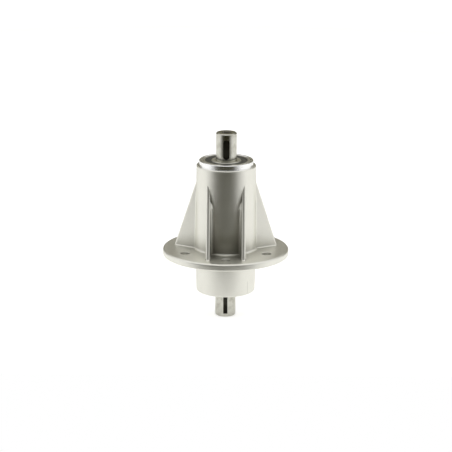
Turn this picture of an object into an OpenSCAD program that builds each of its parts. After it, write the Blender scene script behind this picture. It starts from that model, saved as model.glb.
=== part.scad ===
// Mower blade spindle assembly: a ribbed cast housing that bolts to the deck, with a shaft in two
// sealed ball bearings. The pulley goes on the upper shaft end and the blade on the lower one.
// Origin: on the shaft axis, in the plane of the flange's underside. +Z points to the pulley end.

/* [Shaft] */
// Diameter of the shaft
shaft_d = 20; // [16:0.5:24]
// How far the pulley end of the shaft stands out of the housing
pulley_end_len = 26.8; // [24:0.1:60]
// How far the blade end of the shaft stands out of the lower boss
blade_end_len = 25.6; // [22:0.1:50]
// Chamfer on the two shaft ends
end_chamfer = 0.8; // [0.3:0.1:1.5]
// Width of the grinding grooves between the bearing seats and the two journals
groove_w = 0.8; // [0.6:0.1:1.2]
// Depth of the grinding grooves
groove_cut = 0.25; // [0.2:0.05:0.5]
// Width of the keyway for the pulley key
keyway_w = 6; // [4:0.5:8]
// Depth of the keyway below the shaft's surface
keyway_depth = 3.5; // [2:0.1:4]
// Length of the keyway, end to end
keyway_len = 19.4; // [12:0.1:22]
// Distance from the pulley end to the keyway
keyway_to_end = 5.6; // [4:0.1:8]
// Width of the half-moon key slot at the blade end
moon_w = 4; // [3:0.5:6]
// Diameter of the cutter that makes the half-moon slot
moon_cutter_d = 19; // [13:0.5:22]
// Depth of the half-moon slot below the shaft's surface
moon_depth = 6; // [4:0.1:7]
// Distance from the blade end to the middle of the half-moon slot
moon_to_end = 12.3; // [11:0.1:15]
// Core diameter of the tapped hole in each shaft end
tapped_core_d = 6.8; // [5:0.1:8.5]
// Depth of the tapped holes
tapped_depth = 24; // [15:1:30]
// Mouth diameter of their countersinks
countersink_d = 8.8; // [8.5:0.1:11]

/* [Housing] */
// Height of the machined top of the housing above the mounting face
housing_h = 93.7; // [80:0.1:115]
// Height of the machined spigot
spigot_h = 4.7; // [3:0.1:8]
// Wall of the spigot round the bearing
spigot_wall = 2.5; // [2:0.1:5]
// Width of the ledge between the spigot and the cast tube
ledge_w = 2.6; // [1.5:0.1:4]
// Draft angle of the tube
tube_draft = 0.9; // [0.5:0.1:2]
// Diameter of the flange
flange_d = 121.6; // [101:0.2:140]
// Thickness of the flange
flange_t = 6.7; // [5:0.1:10]
// Depth of the lower boss below the mounting face
boss_h = 35.9; // [30:0.1:40]
// Wall of the lower boss at its end
boss_wall = 4.95; // [3:0.05:7]
// Draft angle of the lower boss
boss_draft = 1.35; // [0.5:0.05:2]
// Radius of the round on the flange's upper edge
rim_round = 2.2; // [0.5:0.1:3]
// Radius of the small rounds on the other cast edges
edge_round = 1.2; // [0.4:0.1:2]
// Radius of the fillet where the tube meets the flange
root_fillet = 2; // [1:0.1:4]

/* [Ribs] */
// Centre to centre distance of the two ribs of a pair
rib_spacing = 33.7; // [26:0.1:38]
// Thickness of a rib
rib_t = 4; // [3:0.1:6]
// Reach of a rib at the flange, measured from the axis along the pair's direction
rib_reach = 47.2; // [42:0.1:50]
// Height above the mounting face at which a rib runs into the tube
rib_top_h = 72.3; // [50:0.1:76]
// Radius of the fillets between ribs and tube
rib_fillet = 2.6; // [1:0.1:4]
// Length over which those fillets run out to nothing at the top
rib_fade = 13; // [5:1:25]
// Radius of the fillets between ribs and flange
rib_foot = 1.2; // [0.5:0.1:2]

/* [Mounting holes] */
// Diameter of the mounting holes
hole_d = 9; // [6:0.5:10.5]
// Diameter of the circle that the mounting holes lie on
hole_pcd = 90; // [84:0.5:100]

/* [Bearings] */
// Outside diameter of the bearings
bearing_od = 47; // [42:1:57]
// Width of the bearings
bearing_w = 14; // [11.5:0.5:18]
// Diameter of the balls
ball_d = 7.94; // [6.5:0.01:9.6]
// Depth of the ball grooves below the shoulders of the rings
groove_depth = 1.7; // [1.2:0.1:2]
// Gap between a ball and each groove
race_gap = 0.12; // [0.11:0.01:0.2]
// Chamfer on the seating edges of the rings
ring_chamfer = 0.8; // [0.3:0.1:1.2]
// How far the top bearing sits below the housing's top
bearing_sink = 0.2; // [0:0.1:1]
// Width of the shoulders that the outer rings seat on
seat_shoulder = 3.2; // [2:0.1:4]
// Sheet thickness of the cages
cage_t = 0.55; // [0.4:0.05:0.8]
// Radial width of the cages
cage_w = 3.2; // [2.4:0.1:3.6]
// Thickness of the seals
seal_t = 0.8; // [0.6:0.05:1]
// How far the seals sit below the faces of the rings
seal_recess = 0.35; // [0.2:0.05:0.6]
// Wall of the sleeve between the inner rings
sleeve_wall = 2.8; // [1.5:0.1:3]

/* [Hidden] */
$fn = 96;
cut = 1;                 // how far a cutting shape runs past the face that it cuts
press_gap = 0.03;        // gap between pieces that are pressed together but not measured as a fit
lip_gap = 0.14;          // gap between a seal's lip and the inner ring
pocket_gap = 0.12;       // gap between a ball and its cage pocket
sleeve_gap = 0.2;        // gap between the shaft and the sleeve
seam_angle = 45;         // where the turned shaft's seam line runs, clear of both key slots
core_taper = 0.7;        // how much narrower the cored bore is in its middle, on the radius
bore_chamfer = 0.6;      // chamfer at the mouth of each bearing seat
hole_chamfer = 0.3;      // edge break of the mounting holes
drill_tip = 118;         // point angle of the drill that makes the tapped holes
bite = 1;                // how deep a fillet's solid reaches into the walls that it joins
crossing = 0.03;         // how far a fillet's arc passes through those walls

shaft_r = shaft_d / 2;
shaft_top_z = housing_h + pulley_end_len;
shaft_low_z = -boss_h - blade_end_len;
seat_r = bearing_od / 2;
spigot_r = seat_r + spigot_wall;
tube_top_r = spigot_r + ledge_w;
ledge_z = housing_h - spigot_h;
tube_base_r = tube_top_r + (ledge_z - flange_t) * tan(tube_draft);
boss_end_r = seat_r + boss_wall;
boss_base_r = boss_end_r + boss_h * tan(boss_draft);
flange_r = flange_d / 2;
core_r = seat_r - seat_shoulder;

rib_pairs = [30, 150, 270];
hole_angles = [30:60:330];
rib_off = rib_spacing / 2;
rib_top_r = tube_top_r + (ledge_z - rib_top_h) * tan(tube_draft);
rib_top_u = sqrt(pow(rib_top_r, 2) - pow(rib_off, 2));
rib_slope = atan((rib_reach - rib_top_u) / (rib_top_h - flange_t));

ball_count = 8;
ball_r = ball_d / 2;
pitch_r = (shaft_r + seat_r) / 2;
groove_r = ball_r + race_gap + 0.04;
inner_groove_bottom = pitch_r - ball_r - race_gap;
outer_groove_bottom = pitch_r + ball_r + race_gap;
inner_land_r = inner_groove_bottom + groove_depth;
outer_land_r = outer_groove_bottom - groove_depth;
half_w = bearing_w / 2;
seal_out = half_w - seal_recess;
seal_in = seal_out - seal_t;
seal_r = outer_land_r + 1.4;
bead_r = seal_r + 0.5;
bead_t = seal_t / 2;
pocket_r = ball_r + pocket_gap;
cage_out_r = pocket_r + cage_t;
cage_flat = 2 * pitch_r * sin(180 / ball_count) - 2 * cage_out_r;
rivet_r = 0.19 * cage_flat;
rivet_head_r = 0.36 * cage_flat;
rivet_head_t = 0.35;
upper_z = housing_h - bearing_sink - half_w;
lower_z = -boss_h + bearing_sink + half_w;
BEARINGS = [["upper", upper_z], ["lower", lower_z]];

STEEL = [0.72, 0.72, 0.70];
BALLS = [for (i = [1:ball_count]) i];
BEARING_PIECES = concat(
    ["outer_ring", "inner_ring", "top_seal", "bottom_seal",
     "cage_top_half", "cage_bottom_half", "cage_rivets"],
    [for (i = BALLS) str("ball_", i)]);

// Points of an arc round (cx, cy) from angle a to angle b.
function arc(cx, cy, r, a, b, steps = 6) =
    [for (i = [0:steps]) let (t = a + (b - a) * i / steps) [cx + r * cos(t), cy + r * sin(t)]];

// Half section of the casting without its ribs: radius, then height.
module housing_profile() {
    polygon(concat(
        [[core_r - cut, -boss_h]],
        arc(boss_end_r - edge_round, -boss_h + edge_round, edge_round, -90, 0),
        arc(boss_base_r + edge_round, -edge_round, edge_round, 180, 90),
        arc(flange_r - edge_round, edge_round, edge_round, -90, 0),
        arc(flange_r - rim_round, flange_t - rim_round, rim_round, 0, 90),
        arc(tube_base_r + root_fillet, flange_t + root_fillet, root_fillet, 270, 180),
        arc(tube_top_r - edge_round, ledge_z - edge_round, edge_round, 0, 90),
        [[spigot_r, ledge_z], [spigot_r, housing_h - 0.4], [spigot_r - 0.4, housing_h],
         [core_r - cut, housing_h]]));
}

// Everything that is bored out along the axis: two bearing seats and the cored bore between them.
module housing_bores() {
    middle_z = (upper_z + lower_z) / 2;
    upper_seat_z = upper_z - half_w;
    lower_seat_z = lower_z + half_w;
    translate([0, 0, upper_seat_z]) cylinder(r = seat_r, h = housing_h);
    translate([0, 0, housing_h - bore_chamfer])
        cylinder(r1 = seat_r, r2 = seat_r + bore_chamfer + cut, h = bore_chamfer + cut);
    translate([0, 0, lower_seat_z - housing_h]) cylinder(r = seat_r, h = housing_h);
    translate([0, 0, -boss_h - cut])
        cylinder(r1 = seat_r + bore_chamfer + cut, r2 = seat_r, h = bore_chamfer + cut);
    rotate_extrude() polygon([
        [0, lower_seat_z - cut], [core_r, lower_seat_z - cut], [core_r, lower_seat_z],
        [core_r - core_taper, middle_z],
        [core_r, upper_seat_z], [core_r, upper_seat_z + cut], [0, upper_seat_z + cut]]);
}

module mounting_holes() {
    for (a = hole_angles) rotate([0, 0, a]) translate([hole_pcd / 2, 0, 0]) {
        translate([0, 0, -cut]) cylinder(d = hole_d, h = flange_t + 2 * cut);
        translate([0, 0, flange_t - hole_chamfer])
            cylinder(d1 = hole_d, d2 = hole_d + 2 * (hole_chamfer + cut), h = hole_chamfer + cut);
        translate([0, 0, -cut])
            cylinder(d1 = hole_d + 2 * (hole_chamfer + cut), d2 = hole_d, h = hole_chamfer + cut);
    }
}

// A plate whose outer edge is fully rounded and slopes inwards to the tube.
// X is the pair's direction and Y runs across the plate.
module rib_plate() {
    over = 8;
    length = (rib_top_h - flange_t) / cos(rib_slope);
    intersection() {
        translate([rib_reach, 0, flange_t]) rotate([0, -rib_slope, 0])
            translate([0, 0, -over]) linear_extrude(length + 2 * over) {
                translate([-rib_t / 2, 0]) circle(d = rib_t);
                translate([-rib_reach, -rib_t / 2]) square([rib_reach - rib_t / 2, rib_t]);
            }
        translate([core_r / 2, -rib_t, flange_t / 2])
            cube([rib_reach, 2 * rib_t, ledge_z - edge_round - flange_t / 2 - cut]);
    }
}

// Fillet between the tube and the rib face at y = face. side is 1 when the air is at larger y and
// -1 when it is at smaller y. It leans with the tube's draft. A tilted plane makes it run out to
// nothing at the point where that face ends on the tube.
module tube_fillet(face, side) {
    mid_y = face + side * rib_fillet;
    reach_r = tube_base_r + rib_fillet;
    mid_x = sqrt(pow(reach_r, 2) - pow(mid_y, 2));
    lean = atan(tan(tube_draft) * tube_base_r / mid_x);
    inner_k = (tube_base_r - bite) / reach_r;
    corner_x = sqrt(pow(tube_base_r, 2) - pow(face, 2));
    corner_lean = tan(tube_draft) * tube_base_r / corner_x;
    edge_x = rib_reach - rib_t / 2 / cos(rib_slope);
    end_h = (edge_x - corner_x) / (tan(rib_slope) - corner_lean);
    end_x = corner_x - end_h * corner_lean;
    bisector = atan2(side * rib_fillet, mid_x - corner_x);
    tilt = atan((mid_x - corner_x) * cos(bisector) / rib_fade);
    intersection() {
        translate([mid_x, 0, flange_t]) rotate([0, -lean, 0])
            translate([0, 0, -flange_t / 2]) linear_extrude(rib_top_h - flange_t)
                difference() {
                    translate([-mid_x, 0]) polygon([
                        [mid_x, mid_y], [mid_x, face - side * bite],
                        [mid_x * inner_k, face - side * bite],
                        [mid_x * inner_k, mid_y * inner_k]]);
                    translate([0, mid_y]) circle(r = rib_fillet - crossing);
                }
        translate([end_x, face, flange_t + end_h]) rotate([0, -tilt, bisector])
            translate([-rib_reach, -rib_reach / 2, -housing_h])
                cube([rib_reach, rib_reach, 2 * housing_h]);
    }
}

// Fillet along the foot of the rib face at y = face.
module foot_fillet(face, side) {
    start = tube_base_r / 2;
    nose = rib_reach - rib_t / 2 / cos(rib_slope);
    translate([start, 0, flange_t]) rotate([90, 0, 90]) linear_extrude(nose - start)
        difference() {
            translate([face, 0]) polygon([
                [-side * bite, -bite], [side * rib_foot, -bite],
                [side * rib_foot, rib_foot], [-side * bite, rib_foot]]);
            translate([face + side * rib_foot, rib_foot]) circle(r = rib_foot - crossing);
        }
}

// Fillet round the foot of a rib's rounded edge. It leans with that edge.
module nose_fillet() {
    nose_r = rib_t / 2;
    rise = rib_foot * (1 - sin(rib_slope)) / cos(rib_slope);
    translate([rib_reach, 0, flange_t]) rotate([0, -rib_slope, 0]) translate([-nose_r, 0, rise])
        rotate_extrude() difference() {
            translate([nose_r - bite, -rib_foot - bite]) square([rib_foot + bite, rib_foot + bite]);
            translate([nose_r + rib_foot, 0]) circle(r = rib_foot - crossing);
        }
}

module rib_pair() {
    for (side = [-1, 1]) translate([0, side * rib_off, 0]) {
        rib_plate();
        nose_fillet();
    }
    for (half = [-1, 1]) for (side = [-1, 1]) {
        face = half * (rib_off + side * rib_t / 2);
        tube_fillet(face, half * side);
        foot_fillet(face, half * side);
    }
}

module housing() {
    color([0.83, 0.83, 0.80]) difference() {
        union() {
            rotate_extrude() housing_profile();
            for (a = rib_pairs) rotate([0, 0, a]) rib_pair();
        }
        housing_bores();
        mounting_holes();
    }
}

// Tapped hole from z = 0 down, with its countersink and the cone that the drill leaves.
module tapped_hole() {
    core_r = tapped_core_d / 2;
    sink_r = countersink_d / 2;
    tip_h = core_r / tan(drill_tip / 2);
    translate([0, 0, -tapped_depth]) cylinder(r = core_r, h = tapped_depth + cut);
    translate([0, 0, -tapped_depth - tip_h]) cylinder(r1 = 0, r2 = core_r, h = tip_h);
    translate([0, 0, core_r - sink_r]) cylinder(r1 = core_r, r2 = sink_r + cut, h = sink_r - core_r + cut);
}

module keyway() {
    end_r = keyway_w / 2;
    floor_y = -(shaft_r - keyway_depth);
    top_z = shaft_top_z - keyway_to_end;
    translate([0, floor_y, top_z]) rotate([90, 0, 0]) linear_extrude(keyway_depth + cut) {
        translate([0, -end_r]) circle(r = end_r);
        translate([0, end_r - keyway_len]) circle(r = end_r);
        translate([-end_r, end_r - keyway_len]) square([keyway_w, keyway_len - keyway_w]);
    }
}

module moon_slot() {
    cutter_r = moon_cutter_d / 2;
    translate([-moon_w / 2, -(shaft_r - moon_depth + cutter_r), shaft_low_z + moon_to_end])
        rotate([0, 90, 0]) cylinder(r = cutter_r, h = moon_w);
}

// Profile of a shallow groove round the shaft, from height z up, where the grinding wheel runs out.
function grinding_groove(z) = [
    [shaft_r, z], [shaft_r - groove_cut, z + groove_cut / 2],
    [shaft_r - groove_cut, z + groove_w - groove_cut / 2], [shaft_r, z + groove_w]];

// Half section of the turned bar: radius, then height.
module shaft_profile() {
    polygon(concat(
        [[0, shaft_low_z], [shaft_r - end_chamfer, shaft_low_z], [shaft_r, shaft_low_z + end_chamfer]],
        grinding_groove(lower_z - half_w - groove_w),
        grinding_groove(upper_z + half_w),
        [[shaft_r, shaft_top_z - end_chamfer], [shaft_r - end_chamfer, shaft_top_z], [0, shaft_top_z]]));
}

module shaft() {
    color(STEEL) difference() {
        rotate([0, 0, seam_angle]) rotate_extrude() shaft_profile();
        keyway();
        moon_slot();
        translate([0, 0, shaft_top_z]) tapped_hole();
        translate([0, 0, shaft_low_z]) mirror([0, 0, 1]) tapped_hole();
    }
}

module spacer_sleeve() {
    low_z = lower_z + half_w;
    high_z = upper_z - half_w;
    color("darkgray") translate([0, 0, low_z]) difference() {
        cylinder(r = shaft_r + sleeve_gap + sleeve_wall, h = high_z - low_z);
        translate([0, 0, -cut]) cylinder(r = shaft_r + sleeve_gap, h = high_z - low_z + 2 * cut);
    }
}

// The bearing pieces below are drawn round the bearing's own middle.
module outer_ring() {
    half = [[outer_land_r, seal_in], [bead_r + press_gap, seal_in],
        [bead_r + press_gap, seal_in + bead_t + press_gap],
        [seal_r + press_gap, seal_in + bead_t + press_gap], [seal_r + press_gap, half_w],
        [seat_r - ring_chamfer, half_w], [seat_r, half_w - ring_chamfer]];
    color(STEEL) rotate_extrude() difference() {
        polygon(concat(half, [for (i = [len(half) - 1:-1:0]) [half[i][0], -half[i][1]]]));
        translate([outer_groove_bottom - groove_r, 0]) circle(r = groove_r);
    }
}

module inner_ring() {
    edge = 0.3;
    half = [[shaft_r, half_w - ring_chamfer], [shaft_r + ring_chamfer, half_w],
        [inner_land_r - edge, half_w], [inner_land_r, half_w - edge]];
    color(STEEL) rotate_extrude() difference() {
        polygon(concat(half, [for (i = [len(half) - 1:-1:0]) [half[i][0], -half[i][1]]]));
        translate([inner_groove_bottom + groove_r, 0]) circle(r = groove_r);
    }
}

// Rubber-covered disc with a bead that snaps into the outer ring and a lip at the inner ring.
module seal() {
    lip_r = inner_land_r + lip_gap;
    dip = seal_t / 4;
    color([0.16, 0.16, 0.16]) rotate_extrude() polygon([
        [lip_r, seal_in], [lip_r + 0.5, seal_in], [lip_r + 1.1, seal_in + dip],
        [seal_r - 0.9, seal_in + dip], [seal_r - 0.4, seal_in + press_gap],
        [bead_r, seal_in + press_gap], [bead_r, seal_in + bead_t],
        [seal_r, seal_in + bead_t], [seal_r, seal_out], [seal_r - 0.7, seal_out],
        [seal_r - 1.2, seal_out - dip], [lip_r + 1.5, seal_out - dip],
        [lip_r + 1.0, seal_out], [lip_r + 0.4, seal_out], [lip_r, seal_in + 0.4]]);
}

// Pressed half of a ribbon cage: a flat ring with a domed pocket over each ball.
module cage_half() {
    low_r = pitch_r - cage_w / 2;
    high_r = pitch_r + cage_w / 2;
    color([0.66, 0.64, 0.56]) difference() {
        intersection() {
            union() {
                cylinder(r = high_r + cut, h = cage_t);
                for (i = BALLS) ball_place(i) sphere(r = cage_out_r);
            }
            difference() {
                cylinder(r = high_r, h = cage_out_r + cut);
                translate([0, 0, -cut]) cylinder(r = low_r, h = cage_out_r + 3 * cut);
            }
        }
        for (i = BALLS) ball_place(i) sphere(r = pocket_r);
        for (i = BALLS) rivet_place(i) translate([0, 0, -cut]) cylinder(r = rivet_r + press_gap, h = 3 * cut);
    }
}

module cage_rivets() {
    color("gainsboro") for (i = BALLS) rivet_place(i) {
        translate([0, 0, -cage_t]) cylinder(r = rivet_r, h = 2 * cage_t);
        translate([0, 0, cage_t]) cylinder(r1 = rivet_head_r, r2 = rivet_r, h = rivet_head_t);
        translate([0, 0, -cage_t - rivet_head_t]) cylinder(r1 = rivet_r, r2 = rivet_head_r, h = rivet_head_t);
    }
}

module ball_place(i) {
    rotate([0, 0, 360 / ball_count * (i - 0.5)]) translate([pitch_r, 0, 0]) children();
}

module rivet_place(i) {
    rotate([0, 0, 360 / ball_count * i]) translate([pitch_r, 0, 0]) children();
}

module ball(i) {
    color([0.85, 0.85, 0.85]) ball_place(i) sphere(r = ball_r);
}

module bearing_piece(name, z) {
    translate([0, 0, z]) {
        if (name == "outer_ring") outer_ring();
        if (name == "inner_ring") inner_ring();
        if (name == "top_seal") seal();
        if (name == "bottom_seal") mirror([0, 0, 1]) seal();
        if (name == "cage_top_half") cage_half();
        if (name == "cage_bottom_half") mirror([0, 0, 1]) cage_half();
        if (name == "cage_rivets") cage_rivets();
        for (i = BALLS) if (name == str("ball_", i)) ball(i);
    }
}

housing();
shaft();
spacer_sleeve();
for (b = BEARINGS) for (p = BEARING_PIECES)
    bearing_piece(p, b[1]);
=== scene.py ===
"""Mower blade spindle assembly: a ribbed aluminium casting with a keyed shaft in two sealed ball bearings."""

import math

import bpy
from mathutils import Matrix, Vector


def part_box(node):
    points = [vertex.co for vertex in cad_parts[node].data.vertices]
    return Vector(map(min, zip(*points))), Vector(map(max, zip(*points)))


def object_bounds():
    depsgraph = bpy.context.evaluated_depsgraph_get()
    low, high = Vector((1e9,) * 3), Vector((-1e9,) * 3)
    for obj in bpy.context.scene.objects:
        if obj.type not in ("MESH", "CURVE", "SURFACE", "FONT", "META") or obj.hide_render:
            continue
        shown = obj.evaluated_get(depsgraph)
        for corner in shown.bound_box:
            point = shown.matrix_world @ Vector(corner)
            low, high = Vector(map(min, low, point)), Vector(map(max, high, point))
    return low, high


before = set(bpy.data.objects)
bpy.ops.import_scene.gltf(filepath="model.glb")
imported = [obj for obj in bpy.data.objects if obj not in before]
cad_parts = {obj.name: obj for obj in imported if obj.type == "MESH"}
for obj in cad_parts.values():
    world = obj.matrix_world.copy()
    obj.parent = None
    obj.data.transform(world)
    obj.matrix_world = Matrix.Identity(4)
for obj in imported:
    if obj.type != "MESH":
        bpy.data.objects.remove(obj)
cad_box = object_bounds()

# Camera: a long lens two metres away, a little above the flange and turned by a third of a degree,
# as the photograph was taken. The picture is square.
view_distance = 2.0
view_elevation = math.radians(15.67)
view_roll = math.radians(0.39)
lens_px = 2070.9
picture_px = 452
sensor_mm = 36.0
nearest_seen = 0.05
furthest_seen = 30
aim = Vector((0.00013, 0.0, 0.02768))
forward = Vector((0, math.cos(view_elevation), -math.sin(view_elevation)))
level_up = Vector((0, math.sin(view_elevation), math.cos(view_elevation)))
level_right = Vector((1, 0, 0))
camera_up = level_up * math.cos(view_roll) - level_right * math.sin(view_roll)
camera_right = forward.cross(camera_up)
turn = Matrix((camera_right, camera_up, -forward)).transposed().to_4x4()
camera_data = bpy.data.cameras.new("camera")
camera_data.sensor_width = sensor_mm
camera_data.lens = lens_px / picture_px * sensor_mm
camera_data.clip_start = nearest_seen
camera_data.clip_end = furthest_seen
camera = bpy.data.objects.new("camera", camera_data)
camera.matrix_world = Matrix.Translation(aim - forward * view_distance) @ turn
bpy.context.scene.collection.objects.link(camera)
bpy.context.scene.camera = camera
bpy.context.scene.view_settings.view_transform = "Standard"


# Table: white paper that ends a little way in front of the part. The camera and polished metal see it
# brighter than the light alone makes it, so that it joins the white tent and keeps a faint shadow.
maths = "ShaderNodeMath"


def linear(hex_code):
    """A colour written as an sRGB hex code, as the linear RGBA that a socket takes."""
    parts = [int(hex_code[i:i + 2], 16) / 255 for i in (1, 3, 5)]
    return tuple(c / 12.92 if c <= 0.04045 else ((c + 0.055) / 1.055) ** 2.4 for c in parts) + (1.0,)


def add_node(tree, kind, settings=None, links=None):
    """Adds a node: settings are its properties or socket values, links are nodes or sockets to plug in."""
    node = tree.nodes.new(kind)
    for key, value in (settings or {}).items():
        if isinstance(key, str) and hasattr(node, key):
            setattr(node, key, value)
        else:
            node.inputs[key].default_value = value
    for key, source in (links or {}).items():
        socket = source.outputs[0] if isinstance(source, bpy.types.Node) else source
        tree.links.new(socket, node.inputs[key])
    return node


def new_material(name):
    """An empty node material and its tree."""
    material = bpy.data.materials.new(name)
    material.use_nodes = True
    material.node_tree.nodes.clear()
    return material, material.node_tree


def stage_sheet(name, corners, faces, material, seen_by_camera):
    """A sheet of the studio, with its material."""
    mesh = bpy.data.meshes.new(name)
    mesh.from_pydata(corners, [], faces)
    mesh.materials.append(material)
    sheet = bpy.data.objects.new(name, mesh)
    bpy.context.scene.collection.objects.link(sheet)
    sheet.visible_camera = seen_by_camera


table_z = cad_box[0][2]
table_half = 3.0
table_front_y = -0.175
table_lift = 0.46
camera_lift = 0.2
table_paper, tree = new_material("table_paper")
table_paper.cycles.emission_sampling = "NONE"
ray = add_node(tree, "ShaderNodeLightPath").outputs
shown = add_node(tree, maths, {"operation": "MAXIMUM"}, {0: ray["Is Camera Ray"], 1: ray["Is Glossy Ray"]})
lifted = add_node(tree, maths, {"operation": "MULTIPLY", 1: table_lift}, {0: shown})
lifted = add_node(tree, maths, {"operation": "MULTIPLY_ADD", 1: camera_lift},
                  {0: ray["Is Camera Ray"], 2: lifted})
matte = add_node(tree, "ShaderNodeBsdfDiffuse", {"Color": linear("#eeeeec")})
glow = add_node(tree, "ShaderNodeEmission", {"Color": linear("#ffffff")}, {"Strength": lifted})
paper = add_node(tree, "ShaderNodeAddShader", {}, {0: matte, 1: glow})
add_node(tree, "ShaderNodeOutputMaterial", {}, {"Surface": paper})
stage_sheet("table", [
    (-table_half, table_front_y, table_z), (table_half, table_front_y, table_z),
    (table_half, table_half, table_z), (-table_half, table_half, table_z)], [(0, 1, 2, 3)], table_paper, True)

# Screens: cloth hung in a ring round the part, dark in front like an unlit room and grey behind like a
# wall, with the tent's light between and above. Polished metal mirrors them, and the camera doesn't.
mix = "ShaderNodeMix"
fade = "ShaderNodeMapRange"
screen_radius = 1.6
screen_top = 1.75
front_middle = math.radians(-4)
front_dark, front_clear = math.radians(30), math.radians(76)
back_clear, back_grey = math.radians(118), math.radians(134)
low_full, low_gone = 1.0, 1.7
screen_cloth, tree = new_material("screen_cloth")
place = add_node(tree, "ShaderNodeTexCoord").outputs["Object"]
x, y, z = add_node(tree, "ShaderNodeSeparateXYZ", {}, {0: place}).outputs
towards = add_node(tree, maths, {"operation": "MULTIPLY", 1: -1.0}, {0: y})
heading = add_node(tree, maths, {"operation": "ARCTAN2"}, {0: x, 1: towards})
aside = add_node(tree, maths, {"operation": "SUBTRACT", 1: front_middle}, {0: heading})
aside = add_node(tree, maths, {"operation": "ABSOLUTE"}, {0: aside})
in_front = add_node(tree, fade, {
    "interpolation_type": "SMOOTHSTEP", "From Min": front_dark, "From Max": front_clear,
    "To Min": 1.0, "To Max": 0.0}, {"Value": aside})
round_back = add_node(tree, maths, {"operation": "ABSOLUTE"}, {0: heading})
behind = add_node(tree, fade, {
    "interpolation_type": "SMOOTHSTEP", "From Min": back_clear, "From Max": back_grey}, {"Value": round_back})
low = add_node(tree, fade, {
    "interpolation_type": "SMOOTHSTEP", "From Min": low_full, "From Max": low_gone,
    "To Min": 1.0, "To Max": 0.0}, {"Value": z})
cover = add_node(tree, maths, {"operation": "MAXIMUM"}, {0: in_front, 1: behind})
cover = add_node(tree, maths, {"operation": "MULTIPLY"}, {0: cover, 1: low})
dye = add_node(tree, mix, {"data_type": "RGBA", 6: linear("#4f4d3e"), 7: linear("#9a9684")}, {0: behind})
cloth = add_node(tree, "ShaderNodeBsdfDiffuse", {}, {"Color": dye.outputs[2]})
clear = add_node(tree, "ShaderNodeBsdfTransparent")
woven = add_node(tree, "ShaderNodeMixShader", {}, {0: cover, 1: clear, 2: cloth})
add_node(tree, "ShaderNodeOutputMaterial", {}, {"Surface": woven})
ring_steps = 72
ring_angles = [2 * math.pi * i / ring_steps for i in range(ring_steps)]
ring = [(screen_radius * math.sin(a), -screen_radius * math.cos(a)) for a in ring_angles]
ring_faces = []
for i in range(ring_steps):
    following = (i + 1) % ring_steps
    ring_faces.append((i, following, following + ring_steps, i + ring_steps))
stage_sheet("screens", [(x, y, z) for z in (table_z, screen_top) for x, y in ring], ring_faces,
            screen_cloth, False)

# Room floor: the same dark cloth laid from the table's front edge to the screens in front.
arc_steps = 24
front_arc = [front_middle + front_clear * (2 * i / arc_steps - 1) for i in range(arc_steps + 1)]
near_edge = [(-table_front_y * math.tan(a), table_front_y) for a in front_arc]
near_edge[0] = (-screen_radius, table_front_y)
far_edge = [(screen_radius * math.sin(a), min(-screen_radius * math.cos(a), table_front_y)) for a in front_arc]
stage_sheet("room_floor", [(x, y, table_z) for x, y in near_edge + far_edge],
            [(i, i + 1, i + 2 + arc_steps, i + 1 + arc_steps) for i in range(arc_steps)], screen_cloth, False)

# Tent: white cloth all round and above, lit evenly. It lights the part a little less brightly than the
# camera, metal and glass see it.
tent_light = 0.9
world = bpy.data.worlds.new("tent")
world.use_nodes = True
bpy.context.scene.world = world
tree = world.node_tree
tree.nodes.clear()
ray = add_node(tree, "ShaderNodeLightPath").outputs
shown = add_node(tree, maths, {"operation": "MAXIMUM"}, {0: ray["Is Camera Ray"], 1: ray["Is Glossy Ray"]})
shown = add_node(tree, maths, {"operation": "MAXIMUM"}, {0: shown, 1: ray["Is Transmission Ray"]})
level = add_node(tree, fade, {"To Min": tent_light, "To Max": 1.0}, {"Value": shown})
tent = add_node(tree, "ShaderNodeBackground", {"Color": linear("#ffffff")}, {"Strength": level})
add_node(tree, "ShaderNodeOutputWorld", {}, {"Surface": tent})


# Housing: one gravity casting in aluminium, blasted after casting. Its spigot, ledge, bearing seats,
# flange underside and boss end are turned on a lathe afterwards and stay bright.
def finish_metal(tree, colour, roughness, height, depth_mm):
    """Joins colour, roughness and relief to one bare metal surface. The height runs from 0 to 1."""
    relief = add_node(tree, "ShaderNodeBump", {"Distance": depth_mm / 1000}, {"Height": height})
    metal = add_node(tree, "ShaderNodeBsdfPrincipled", {"Metallic": 1.0},
                     {"Base Color": colour, "Roughness": roughness, "Normal": relief})
    add_node(tree, "ShaderNodeOutputMaterial", {}, {"Surface": metal})


def axis_place(tree):
    """Object coordinates, and the distance from the shaft's axis, the height and the angle round it."""
    vector = add_node(tree, "ShaderNodeTexCoord").outputs["Object"]
    x, y, z = add_node(tree, "ShaderNodeSeparateXYZ", {}, {0: vector}).outputs
    flat = add_node(tree, "ShaderNodeCombineXYZ", {}, {0: x, 1: y})
    radius = add_node(tree, "ShaderNodeVectorMath", {"operation": "LENGTH"}, {0: flat}).outputs["Value"]
    towards = add_node(tree, maths, {"operation": "MULTIPLY", 1: -1.0}, {0: y})
    return vector, radius, z, add_node(tree, maths, {"operation": "ARCTAN2"}, {0: x, 1: towards})


noise = "ShaderNodeTexNoise"
housing_low, housing_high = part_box("housing")
spigot_height = 0.0047
bore_radius = 0.0236
hair = 0.00003
material, tree = new_material("cast_aluminium")
vector, radius, z, angle = axis_place(tree)
# Turned faces: the flange's underside, the ledge and the spigot above it, the boss end and the bore.
ledge_z = housing_high[2] - spigot_height
turned = add_node(tree, maths, {"operation": "COMPARE", 1: 0.0, 2: hair}, {0: z})
for side, value, limit in (("GREATER_THAN", z, ledge_z - hair), ("LESS_THAN", z, housing_low[2] + hair),
                           ("LESS_THAN", radius, bore_radius)):
    face = add_node(tree, maths, {"operation": side, 1: limit}, {0: value})
    turned = add_node(tree, maths, {"operation": "MAXIMUM"}, {0: turned, 1: face})
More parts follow.
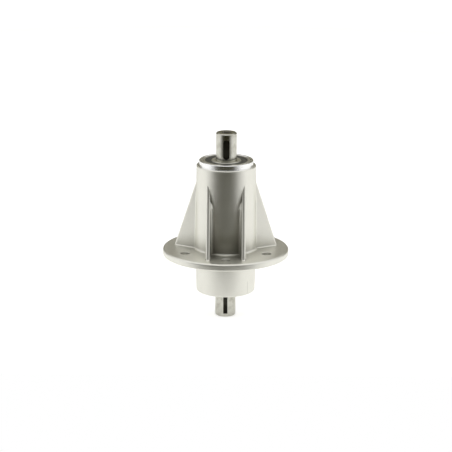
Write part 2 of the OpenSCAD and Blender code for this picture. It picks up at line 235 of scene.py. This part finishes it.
# Blasted skin: grit marks of about 0.3 mm, drawn at 0.9 mm so that they show, on slow unevenness.
grit_mm, cloud_mm = 0.9, 16.0
grit_tint = 0.12
grit = add_node(tree, noise, {"Scale": 1000 / grit_mm, "Detail": 3.0, "Roughness": 0.6}, {"Vector": vector})
cloud = add_node(tree, noise, {"Scale": 1000 / cloud_mm, "Detail": 4.0, "Roughness": 0.6}, {"Vector": vector})
skin = add_node(tree, mix, {"data_type": "RGBA", 6: linear("#e9e8df"), 7: linear("#f3f2ea")}, {0: cloud})
marks = add_node(tree, maths, {"operation": "MULTIPLY", 1: grit_tint}, {0: grit})
skin = add_node(tree, mix, {"data_type": "RGBA", 7: linear("#8f8e86")}, {0: marks, 6: skin.outputs[2]})
# Flash: a thin raised line down the front right of the boss, where two halves of the mould met.
flash_angle = math.radians(48)
flash_half_angle = 0.007
flash_low, flash_high = -0.0345, -0.0225
flash = add_node(tree, maths, {"operation": "COMPARE", 1: flash_angle, 2: flash_half_angle}, {0: angle})
for side, limit in (("GREATER_THAN", flash_low), ("LESS_THAN", flash_high)):
    within = add_node(tree, maths, {"operation": side, 1: limit}, {0: z})
    flash = add_node(tree, maths, {"operation": "MULTIPLY"}, {0: flash, 1: within})
skin = add_node(tree, mix, {"data_type": "RGBA", 7: linear("#c6c5bd")}, {0: flash, 6: skin.outputs[2]})
# Painted shade: corners and the channels between the ribs are painted darker from ambient occlusion, standing
# in for the shade that falls there, so the casting is darker there.
hollow_reach = 0.03
hollow_dark, hollow_open = 0.05, 0.8
corner_shade_strength = 0.95
hollow = add_node(tree, "ShaderNodeAmbientOcclusion", {"samples": 12, "Distance": hollow_reach}).outputs["AO"]
painted_corner_shade = add_node(tree, fade, {
    "interpolation_type": "SMOOTHSTEP", "From Min": hollow_dark, "From Max": hollow_open,
    "To Min": corner_shade_strength, "To Max": 0.0}, {"Value": hollow})
skin = add_node(tree, mix, {"data_type": "RGBA", 7: linear("#75736a")}, {0: painted_corner_shade, 6: skin.outputs[2]})
colour = add_node(tree, mix, {"data_type": "RGBA", 7: linear("#fbfbfa")}, {0: turned, 6: skin.outputs[2]})
# Lathe marks: the tool's rings, 0.2 mm apart, drawn 0.6 mm apart so that they show.
ring_mm, ring_height = 0.6, 0.16
sweep = add_node(tree, maths, {"operation": "ADD"}, {0: radius, 1: z})
sweep = add_node(tree, maths, {"operation": "MULTIPLY", 1: 2000 * math.pi / ring_mm}, {0: sweep})
rings = add_node(tree, maths, {"operation": "SINE"}, {0: sweep})
rings = add_node(tree, maths, {"operation": "MULTIPLY_ADD", 1: ring_height, 2: 0.5}, {0: rings})
cast_roughness, cast_spread = 0.36, 0.1
turned_roughness = 0.27
relief_mm = 0.075
rough = add_node(tree, maths, {"operation": "MULTIPLY_ADD", 1: cast_spread, 2: cast_roughness}, {0: cloud})
rough = add_node(tree, mix, {3: turned_roughness}, {0: turned, 2: rough})
height = add_node(tree, mix, {}, {0: turned, 2: grit, 3: rings})
finish_metal(tree, colour.outputs[2], rough, height, relief_mm)
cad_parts["housing"].material_slots[0].material = material

# Shaft: a steel bar ground to size between centres, keyways milled into it and both ends drilled and
# tapped. Grinding leaves very fine rings, and handling leaves it a little stained.
material, tree = new_material("ground_steel")
vector, radius, z, angle = axis_place(tree)
scratch_mm, stain_mm = 0.35, 5.0
squeeze = add_node(tree, "ShaderNodeMapping", {"Scale": (0.06, 0.06, 1.0)}, {"Vector": vector})
scratches = add_node(tree, noise, {"Scale": 1000 / scratch_mm, "Detail": 4.0, "Roughness": 0.6},
                     {"Vector": squeeze})
stain = add_node(tree, noise, {"Scale": 1000 / stain_mm, "Detail": 5.0, "Roughness": 0.6}, {"Vector": vector})
patches = add_node(tree, fade, {"interpolation_type": "SMOOTHSTEP", "From Min": 0.4, "From Max": 0.8},
                   {"Value": stain})
tint = add_node(tree, mix, {"data_type": "RGBA", 6: linear("#cccbc2"), 7: linear("#b2b0a4")}, {0: patches})
# Thread: 1.25 mm pitch, cut in the two end holes.
pitch_mm, thread_height = 1.25, 4.0
hole_radius = 0.0045
in_hole = add_node(tree, maths, {"operation": "LESS_THAN", 1: hole_radius}, {0: radius})
helix = add_node(tree, maths, {"operation": "MULTIPLY", 1: 2000 * math.pi / pitch_mm}, {0: z})
helix = add_node(tree, maths, {"operation": "ADD"}, {0: helix, 1: angle})
thread = add_node(tree, maths, {"operation": "SINE"}, {0: helix})
thread = add_node(tree, maths, {"operation": "MULTIPLY", 1: thread_height}, {0: thread})
# Milled slots and the tapped end holes: below the ground surface and dull, with their colour painted dark as
# painted shade in these recesses.
shaft_low, shaft_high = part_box("shaft")
slot_radius = 0.0097
end_edge = 0.0009
recess_dull_and_shaded = add_node(tree, maths, {"operation": "LESS_THAN", 1: slot_radius}, {0: radius})
for side, limit in (("LESS_THAN", shaft_high[2] - end_edge), ("GREATER_THAN", shaft_low[2] + end_edge)):
    within = add_node(tree, maths, {"operation": side, 1: limit}, {0: z})
    recess_dull_and_shaded = add_node(tree, maths, {"operation": "MULTIPLY"}, {0: recess_dull_and_shaded, 1: within})
recess_dull_and_shaded = add_node(tree, maths, {"operation": "MAXIMUM"}, {0: recess_dull_and_shaded, 1: in_hole})
# Painted shade: the slots and end holes take the dark colour here.
colour = add_node(tree, mix, {"data_type": "RGBA", 7: linear("#5c5a52")}, {0: recess_dull_and_shaded, 6: tint.outputs[2]})
ground_roughness, stain_spread = 0.12, 0.16
slot_roughness = 0.5
scratch_mm_deep = 0.012
rough = add_node(tree, maths, {"operation": "MULTIPLY_ADD", 1: stain_spread, 2: ground_roughness}, {0: stain})
rough = add_node(tree, mix, {3: slot_roughness}, {0: recess_dull_and_shaded, 2: rough})
height = add_node(tree, mix, {}, {0: in_hole, 2: scratches, 3: thread})
finish_metal(tree, colour.outputs[2], rough, height, scratch_mm_deep)
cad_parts["shaft"].material_slots[0].material = material

# Bearing rings and balls: hardened bearing steel, ground, with honed side faces. The rings' faces keep
# fine grinding rings round the axis, drawn 0.5 mm apart so that they show.
bearing_steel, tree = new_material("bearing_steel")
vector, radius, z, angle = axis_place(tree)
honing_mm = 0.5
ground = add_node(tree, maths, {"operation": "MULTIPLY", 1: 2000 * math.pi / honing_mm}, {0: radius})
ground = add_node(tree, maths, {"operation": "SINE"}, {0: ground})
ground = add_node(tree, maths, {"operation": "MULTIPLY_ADD", 1: 0.2, 2: 0.5}, {0: ground})
cloud = add_node(tree, noise, {"Scale": 1000 / 3.0, "Detail": 3.0, "Roughness": 0.6}, {"Vector": vector})
colour = add_node(tree, mix, {"data_type": "RGBA", 6: linear("#e3e1d8"), 7: linear("#d2d0c5")}, {0: cloud})
rough = add_node(tree, maths, {"operation": "MULTIPLY_ADD", 1: 0.12, 2: 0.3}, {0: cloud})
finish_metal(tree, colour.outputs[2], rough, ground, 0.012)

# Cages and rivets: pressed from mild steel strip, with the drawn look of rolled sheet.
pressed_steel, tree = new_material("pressed_steel")
vector = add_node(tree, "ShaderNodeTexCoord").outputs["Object"]
grain = add_node(tree, noise, {"Scale": 1000 / 0.6, "Detail": 3.0, "Roughness": 0.6}, {"Vector": vector})
cloud = add_node(tree, noise, {"Scale": 1000 / 4.0, "Detail": 3.0, "Roughness": 0.6}, {"Vector": vector})
colour = add_node(tree, mix, {"data_type": "RGBA", 6: linear("#c4bfae"), 7: linear("#a8a290")}, {0: cloud})
rough = add_node(tree, maths, {"operation": "MULTIPLY_ADD", 1: 0.12, 2: 0.26}, {0: grain})
finish_metal(tree, colour.outputs[2], rough, grain, 0.01)

# Spacer sleeve: cold drawn steel tube, with faint lines along its length.
drawn_steel, tree = new_material("drawn_steel")
vector = add_node(tree, "ShaderNodeTexCoord").outputs["Object"]
stretch = add_node(tree, "ShaderNodeMapping", {"Scale": (1.0, 1.0, 0.03)}, {"Vector": vector})
lines = add_node(tree, noise, {"Scale": 1000 / 0.5, "Detail": 3.0, "Roughness": 0.6}, {"Vector": stretch})
cloud = add_node(tree, noise, {"Scale": 1000 / 8.0, "Detail": 3.0, "Roughness": 0.6}, {"Vector": vector})
colour = add_node(tree, mix, {"data_type": "RGBA", 6: linear("#a9a79f"), 7: linear("#8d8a80")}, {0: cloud})
rough = add_node(tree, maths, {"operation": "MULTIPLY_ADD", 1: 0.15, 2: 0.3}, {0: lines})
finish_metal(tree, colour.outputs[2], rough, lines, 0.02)

# Seals: black nitrile rubber moulded on a steel disc, with a slight sheen and a fine moulded skin.
seal_rubber, tree = new_material("seal_rubber")
vector = add_node(tree, "ShaderNodeTexCoord").outputs["Object"]
skin = add_node(tree, noise, {"Scale": 1000 / 0.7, "Detail": 3.0, "Roughness": 0.6}, {"Vector": vector})
cloud = add_node(tree, noise, {"Scale": 1000 / 3.0, "Detail": 3.0, "Roughness": 0.6}, {"Vector": vector})
colour = add_node(tree, mix, {"data_type": "RGBA", 6: linear("#3e3e3b"), 7: linear("#55554f")}, {0: cloud})
rough = add_node(tree, maths, {"operation": "MULTIPLY_ADD", 1: 0.12, 2: 0.36}, {0: skin})
relief = add_node(tree, "ShaderNodeBump", {"Distance": 0.00001}, {"Height": skin})
rubber = add_node(tree, "ShaderNodeBsdfPrincipled", {"IOR": 1.52},
                  {"Base Color": colour.outputs[2], "Roughness": rough, "Normal": relief})
add_node(tree, "ShaderNodeOutputMaterial", {}, {"Surface": rubber})

finishes = {"ring": bearing_steel, "ball": bearing_steel, "cage": pressed_steel,
            "sleeve": drawn_steel, "seal": seal_rubber}
for name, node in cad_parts.items():
    for word, finish in finishes.items():
        if word in name:
            node.material_slots[0].material = finish
